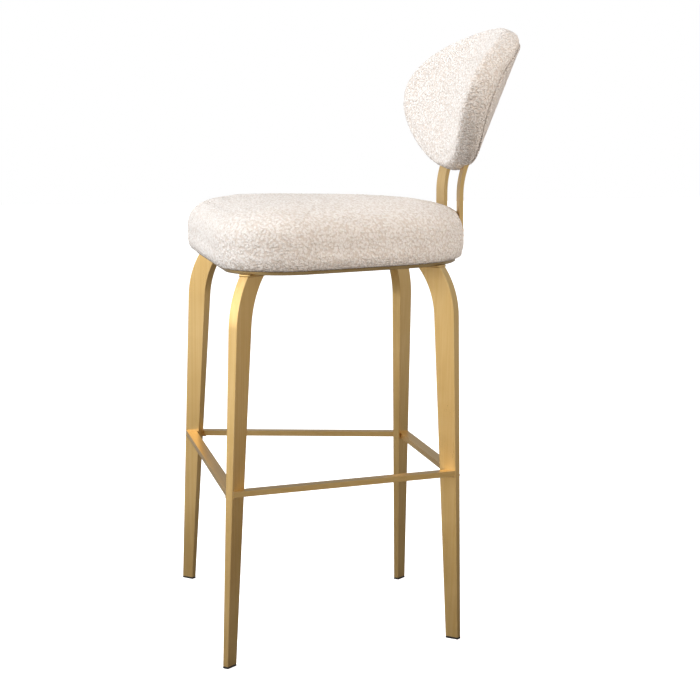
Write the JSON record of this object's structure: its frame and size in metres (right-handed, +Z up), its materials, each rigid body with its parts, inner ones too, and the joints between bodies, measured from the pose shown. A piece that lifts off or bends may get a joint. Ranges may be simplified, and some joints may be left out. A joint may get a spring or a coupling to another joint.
{
  "type": "bar stool with footrest",
  "caption": "Bar stool with four tapered brass-finish legs, a square footrest ring, a rounded padded seat and a low curved padded backrest.",
  "frame": {"origin": "on the floor, at the middle of the stool's bounding box", "axes": "+Z up, the sitter faces -Y, +X is the sitter's left"},
  "size_m": [0.6252, 0.588, 1.0855],
  "materials": {
    "brass_steel": "satin brushed brass finish on steel, clear lacquered",
    "glide": "matte black",
    "boucle": "cream looped wool weave",
    "foam": "open-cell foam",
    "plywood": "raw birch plywood",
    "dust_cloth": "black non-woven cloth",
    "zinc_steel": "zinc plated"
  },
  "bodies": {
    "root": {"leg_front_left": "brass_steel", "leg_front_right": "brass_steel", "leg_back_left": "brass_steel", "leg_back_right": "brass_steel", "glide_front_left": "glide", "glide_front_right": "glide", "glide_back_left": "glide", "glide_back_right": "glide", "footrest_front": "brass_steel", "footrest_back": "brass_steel", "footrest_left": "brass_steel", "footrest_right": "brass_steel", "seat_ring": "brass_steel", "seat_board": "plywood", "seat_back_rail": "plywood", "seat_foam": "foam", "seat_cover": "boucle", "seat_dust_cover": "dust_cloth", "seat_screws": "zinc_steel", "seat_tee_nuts": "zinc_steel", "post_left": "brass_steel", "post_right": "brass_steel", "post_bolts": "zinc_steel", "post_tee_nuts": "zinc_steel", "backrest_board": "plywood", "backrest_foam": "foam", "backrest_cover": "boucle", "backrest_rear_panel": "boucle", "backrest_screws": "zinc_steel", "backrest_tee_nuts": "zinc_steel"}
  },
  "joints": []
}
